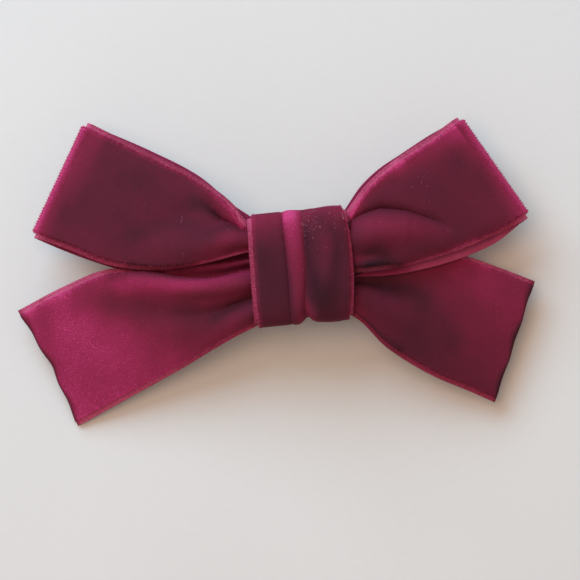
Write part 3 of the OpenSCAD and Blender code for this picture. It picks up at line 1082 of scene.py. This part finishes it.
# The ribbon's sections. Edges a and b are shares of the section's node box; a is the edge of
# larger Y. In shapes, the nap tone paths, back_shapes and under, each row is a path in shares along and
# across the layer, from a to b, with its width, and at each point a height in mm or a change of tone.
# The tones, base and paths, on the pile and underneath, are painted light and shade: darker creases
# and hollows, lighter crowns and edges, and the pile's lay under the light.
# All were fitted by comparing renders with the photograph.
LOOP_LEFT = {
    "front_a": [
        (1.037, 0.262, 0.749), (0.982, 0.296, 0.806), (0.930, 0.398, 0.825), (0.765, 0.602, 0.749),
        (0.536, 0.794, 0.595), (0.370, 0.930, 0.441), (0.283, 1.001, 0.384),
    ],
    "front_b": [
        (1.037, 0.090, 0.749), (0.989, 0.074, 0.787), (0.793, -0.002, 0.787), (0.609, -0.046, 0.672),
        (0.365, -0.010, 0.518), (0.140, 0.122, 0.403), (0.039, 0.175, 0.384),
    ],
    "back_a": [
        (0.391, 0.933, 0.096), (0.545, 0.822, 0.230), (0.773, 0.626, 0.441), (0.938, 0.404, 0.595),
        (1.037, 0.307, 0.595),
    ],
    "back_b": [
        (0.140, 0.110, 0.096), (0.365, -0.015, 0.230), (0.609, -0.101, 0.374), (0.849, -0.162, 0.480),
        (1.037, -0.130, 0.518),
    ],
    "radius": 1.4,
    "crown": 1.4,
    "back_crown": 0.6,
    "shapes": [
        ([(0.12, 0.66), (0.25, 0.74), (0.42, 0.78)], 0.17, (1.6, 1.6, 0.9)),
        ([(0.03, 0.25), (0.12, 0.33), (0.20, 0.34), (0.29, 0.24)], 0.085, (-1.8, -3.3, -3.0, -0.9)),
        ([(0.02, 0.33), (0.09, 0.40), (0.19, 0.42), (0.26, 0.36)], 0.05, (0.3, 0.7, 0.6, 0.1)),
        ([(0.10, 0.04), (0.30, 0.05)], 0.10, (0.9, 0.5)),
        ([(0.42, 0.42), (0.50, 0.55)], 0.12, (-0.6, -0.4)),
    ],
    "back_shapes": [([(0.58, 0.92), (0.97, 0.67)], 0.05, (0.9, 2.0))],
    "under": [
        ([(0.50, 0.75), (1.0, 0.60)], 0.34, (-0.25, -0.46)),
        ([(0.58, 0.90), (0.97, 0.65)], 0.04, (0.10, 0.24)),
        ([(0.60, 0.99), (1.0, 0.86)], 0.04, (0.05, 0.12)),
    ],
    "pleats": (2, 0.3, 0.3),
    "flip": False,
    "tone": 0.36,
    "nap_and_painted_shading": [
        ([(0.03, 0.27), (0.12, 0.33), (0.20, 0.33), (0.28, 0.25), (0.36, 0.25)], 0.075,
         (-0.22, -0.40, -0.40, -0.22, -0.13)),
        ([(0.03, 0.44), (0.11, 0.46), (0.19, 0.49)], 0.06, (0.10, 0.13, 0.06)),
        ([(0.03, 0.09), (0.14, 0.11), (0.24, 0.06)], 0.11, (0.44, 0.30, 0.14)),
        ([(0.03, 0.90), (0.09, 0.93)], 0.06, (0.18, 0.14)),
        ([(0.03, 0.15), (0.04, 0.90)], 0.07, (0.16, 0.10)),
        ([(0.95, 0.02), (0.96, 0.60)], 0.07, (0.20, 0.05)),
        ([(0.30, 0.99), (0.58, 0.99)], 0.04, (-0.40, -0.34)),
        ([(0.08, 0.66), (0.20, 0.84)], 0.10, (0.10, 0.13)),
        ([(0.16, 0.54), (0.24, 0.64)], 0.10, (-0.09, -0.06)),
        ([(0.02, 0.97), (0.16, 0.98), (0.30, 0.98)], 0.045, (0.34, 0.28, 0.14)),
        ([(0.42, 0.52), (0.60, 0.68)], 0.10, (-0.08, -0.10)),
        ([(0.62, 0.42), (0.86, 0.56)], 0.20, (-0.06, -0.05)),
        ([(0.45, 0.30), (0.8, 0.3)], 0.22, (-0.03, -0.03)),
    ],
    "painted_sheen": (0.30, 0.06),
    "fibres": 10000,
    "lint": [(0.35, 0.75, 0.06, 0.05), (0.2, 0.6, 0.05, 0.1), (0.6, 0.4, 0.2, 0.25)],
}

LOOP_RIGHT = {
    "front_a": [
        (-0.046, 0.362, 0.728), (0.016, 0.462, 0.790), (0.079, 0.552, 0.811), (0.161, 0.640, 0.790),
        (0.291, 0.749, 0.707), (0.464, 0.880, 0.541), (0.559, 0.961, 0.457),
    ],
    "front_b": [
        (-0.046, 0.006, 0.728), (0.016, 0.006, 0.769), (0.192, 0.024, 0.811), (0.418, 0.090, 0.707),
        (0.617, 0.162, 0.603), (0.837, 0.268, 0.478), (0.954, 0.330, 0.457),
    ],
    "back_a": [
        (0.455, 0.896, 0.146), (0.280, 0.765, 0.291), (0.141, 0.655, 0.437), (0.053, 0.558, 0.541),
        (-0.046, 0.399, 0.561),
    ],
    "back_b": [
        (0.837, 0.226, 0.146), (0.619, 0.112, 0.249), (0.418, 0.044, 0.374), (0.192, -0.004, 0.520),
        (-0.046, -0.013, 0.561),
    ],
    "radius": 1.6,
    "crown": 1.2,
    "back_crown": 0.5,
    "shapes": [
        ([(0.08, 0.48), (0.20, 0.54), (0.38, 0.66), (0.52, 0.80)], 0.15, (1.5, 2.0, 1.6, 0.6)),
        ([(0.04, 0.18), (0.09, 0.21), (0.30, 0.33), (0.44, 0.48), (0.58, 0.68), (0.66, 0.83)], 0.05,
         (-1.0, -1.5, -1.9, -1.7, -0.9, -0.2)),
        ([(0.18, 0.78), (0.23, 0.84)], 0.11, (-0.6, -0.6)),
        ([(0.05, 0.0), (0.7, 0.0)], 0.10, (0.9, 0.4)),
        ([(0.30, 1.0), (0.92, 1.0)], 0.07, (-1.0, -0.8)),
    ],
    "back_shapes": [],
    "under": [([(0.0, 0.97), (0.6, 0.97)], 0.08, (0.34, 0.26))],
    "pleats": (2, 0.3, 0.3),
    "flip": True,
    "tone": 0.36,
    "nap_and_painted_shading": [
        ([(0.04, 0.16), (0.09, 0.20), (0.30, 0.31), (0.44, 0.46), (0.58, 0.66), (0.66, 0.82)], 0.055,
         (-0.08, -0.08, -0.06, -0.06, -0.06, -0.02)),
        ([(0.10, 0.40), (0.27, 0.52), (0.42, 0.63), (0.60, 0.79)], 0.085, (0.12, 0.18, 0.12, 0.08)),
        ([(0.18, 0.62), (0.42, 0.72)], 0.12, (0.07, 0.07)),
        ([(0.17, 0.78), (0.22, 0.87)], 0.11, (-0.12, -0.12)),
        ([(0.14, 0.95), (0.27, 0.94)], 0.05, (-0.20, -0.12)),
        ([(0.0, 0.99), (0.30, 0.99)], 0.04, (-0.55, -0.45)),
        ([(0.40, 0.97), (0.72, 0.97)], 0.045, (0.16, 0.22)),
        ([(0.95, 0.14), (0.96, 0.34)], 0.07, (0.10, 0.08)),
        ([(0.03, 0.03), (0.14, 0.03), (0.22, 0.03), (0.50, 0.03)], 0.09, (0.46, 0.44, 0.24, 0.30)),
        ([(0.04, 0.84), (0.20, 0.84)], 0.06, (0.16, 0.06)),
        ([(0.56, 0.04), (0.98, 0.06)], 0.14, (0.24, 0.30)),
        ([(0.62, 0.97), (0.95, 0.97)], 0.035, (0.12, 0.12)),
    ],
    "painted_sheen": (0.34, 0.08),
    "fibres": 10000,
    "lint": [(0.3, 0.42, 0.06, 0.04), (0.58, 0.66, 0.04, 0.03), (0.5, 0.5, 0.25, 0.25)],
}

TAIL_LEFT = {
    "edge_a": [
        (1.040, 0.978, 0.898), (0.985, 0.971, 0.920), (0.852, 0.925, 0.943), (0.713, 0.932, 0.931),
        (0.570, 0.978, 0.864), (0.387, 1.001, 0.696), (0.191, 0.902, 0.471), (-0.018, 0.748, 0.291),
    ],
    "edge_b": [
        (1.040, 0.630, 0.808), (0.983, 0.590, 0.785), (0.670, 0.331, 0.448), (0.456, 0.160, 0.235),
        (0.243, -0.011, 0.038),
    ],
    "crown": 1.0,
    "shapes": [
        ([(0.06, 0.20), (0.20, 0.14), (0.50, 0.10)], 0.10, (1.3, 1.3, 0.6)),
        ([(0.0, 0.0), (0.50, 0.0)], 0.06, (-2.4, -1.2)),
        ([(0.04, 0.48), (0.14, 0.49), (0.27, 0.46), (0.44, 0.40), (0.58, 0.30)], 0.13,
         (-1.0, -1.1, -0.9, -0.9, -0.4)),
        ([(0.05, 0.46), (0.12, 0.43)], 0.04, (-1.1, -0.8)),
        ([(0.04, 0.76), (0.20, 0.78)], 0.12, (1.0, 0.3)),
    ],
    "pleats": (2, 0.3, 0.22),
    "end_kink": (0.5, -1.0, 0.16),
    "flip": False,
    "tone": (0.42, 0.81, 0.22, 0.74),
    "nap_and_painted_shading": [
        ([(0.04, 0.48), (0.27, 0.50), (0.42, 0.45), (0.52, 0.37), (0.62, 0.28), (0.70, 0.15),
          (0.75, 0.08)], 0.14, (-0.12, -0.08, -0.16, -0.26, -0.30, -0.22, -0.02)),
        ([(0.0, 0.12), (0.27, 0.13), (0.55, 0.12)], 0.08, (0.18, 0.30, 0.10)),
        ([(0.22, 0.03), (0.36, 0.03), (0.58, 0.03)], 0.06, (-0.20, -0.46, -0.30)),
        ([(0.06, 0.34), (0.22, 0.38)], 0.08, (0.11, 0.10)),
        ([(0.09, 0.66), (0.18, 0.66)], 0.09, (-0.17, -0.15)),
        ([(0.90, 0.02), (0.99, 0.50)], 0.08, (-0.14, -0.08)),
        ([(0.15, 0.86), (0.45, 0.86)], 0.10, (0.10, 0.09)),
        ([(0.0, 0.98), (0.50, 0.98)], 0.06, (0.08, 0.06)),
        ([(0.80, 0.04), (0.98, 0.05)], 0.06, (0.08, 0.08)),
    ],
    "painted_sheen": (0.12, 0.12),
    "fibres": 3000,
}

TAIL_RIGHT = {
    "edge_a": [
        (-0.050, 0.993, 0.845), (0.027, 1.039, 0.814), (0.192, 1.116, 0.675), (0.413, 1.147, 0.522),
        (0.631, 1.093, 0.460), (0.821, 1.008, 0.368), (1.017, 0.909, 0.260),
    ],
    "edge_b": [
        (-0.050, 0.655, 0.845), (0.016, 0.606, 0.829), (0.190, 0.383, 0.660), (0.328, 0.260, 0.522),
        (0.468, 0.160, 0.383), (0.637, 0.068, 0.214), (0.794, -0.024, 0.075),
    ],
    "crown": 1.2,
    "shapes": [
        ([(0.04, 0.38), (0.20, 0.40), (0.42, 0.40)], 0.11, (-1.4, -1.2, -0.4)),
        ([(0.04, 0.72), (0.22, 0.68), (0.40, 0.62)], 0.15, (1.2, 1.2, 0.5)),
        ([(0.4, 0.0), (1.0, 0.0)], 0.06, (-1.0, -0.5)),
    ],
    "pleats": (2, 0.3, 0.22),
    "end_kink": (0.62, 0.0, 0.10),
    "flip": True,
    "tone": (0.42, 0.46, 0.30, 0.80),
    "nap_and_painted_shading": [
        ([(0.04, 0.38), (0.20, 0.40), (0.31, 0.41), (0.46, 0.40)], 0.11, (-0.26, -0.28, -0.24, -0.12)),
        ([(0.0, 0.14), (0.25, 0.14)], 0.13, (-0.26, -0.30)),
        ([(0.04, 0.55), (0.05, 0.86)], 0.08, (0.06, 0.14)),
        ([(0.0, 0.75), (0.35, 0.70)], 0.18, (-0.08, -0.06)),
        ([(0.03, 0.02), (0.05, 0.36)], 0.07, (0.14, 0.18)),
        ([(0.13, 0.97), (0.38, 0.97)], 0.06, (-0.20, -0.22)),
        ([(0.03, 0.84), (0.10, 0.88)], 0.09, (0.18, 0.12)),
        ([(0.46, 0.02), (0.74, 0.02)], 0.06, (0.28, 0.20)),
        ([(0.48, 0.52), (0.66, 0.66)], 0.12, (-0.10, -0.09)),
        ([(0.45, 0.85), (0.98, 0.88)], 0.22, (-0.13, -0.08)),
        ([(0.48, 0.08), (0.98, 0.20)], 0.24, (0.16, 0.14)),
        ([(0.92, 0.40), (0.99, 0.70)], 0.16, (0.06, 0.08)),
    ],
    "painted_sheen": (0.10, 0.06),
    "fibres": 3000,
}

# Lighter and darker patches on the wrap, painted light and shade mixed with mottling: how much, where
# across in mm, how wide, and where along Y.
KNOT_MOTTLING_AND_SHADING = [
    (0.07, 10.8, 0.9, -0.10, 0.40),
    (-0.14, 12.0, 1.0, 0.45, 0.28),
    (-0.10, 12.4, 0.9, 0.00, 0.20),
    (-0.12, 14.2, 1.8, -0.62, 0.26),
    (0.13, 15.9, 1.3, 0.30, 0.26),
    (0.07, 15.2, 1.1, -0.12, 0.20),
    (-0.09, 17.7, 1.0, 0.10, 0.30),
    (-0.10, 13.4, 1.0, -0.28, 0.22),
    (-0.07, 15.6, 1.6, 0.74, 0.14),
    (-0.11, 16.6, 3.0, -0.50, 0.34),
    (0.07, 3.6, 3.4, 0.52, 0.26),
    (-0.05, 2.6, 1.0, 0.05, 0.40),
    (0.05, 6.2, 1.1, 0.40, 0.44),
    (0.06, 2.9, 1.2, 0.88, 0.14),
    (0.08, 18.6, 0.9, -0.30, 0.80),
    (-0.05, 4.8, 2.4, -0.30, 0.50),
]

# Where lint gathers: shares round the wrap and across it, and how far it spreads.
KNOT_LINT = [
    (0.395, 0.60, 0.025, 0.06),
    (0.385, 0.86, 0.012, 0.04),
    (0.430, 0.375, 0.040, 0.006),
    (0.430, 0.66, 0.035, 0.12),
    (0.395, 0.50, 0.020, 0.04),
]

build_loop("loop_left", LOOP_LEFT)
build_loop("loop_right", LOOP_RIGHT)
build_tail("tail_left", TAIL_LEFT)
build_tail("tail_right", TAIL_RIGHT)
build_knot()
build_middle()
build_thread()

NICKEL = steel_material("nickel_plate", srgb(206, 204, 198), srgb(150, 147, 140), 0.16, 0.34, (0.12, 1, 1))
SPRING = steel_material("spring_steel", srgb(176, 178, 182), srgb(112, 114, 118), 0.22, 0.40, (0.10, 1, 1))
dress(NICKEL, "base_plate", "hinge_pin", "latch_rivet", "clasp_arm")
dress(SPRING, "latch_bridge", "latch_prong_front", "latch_prong_rear", "tension_bar")
dress(glue_material(), "glue_bead")
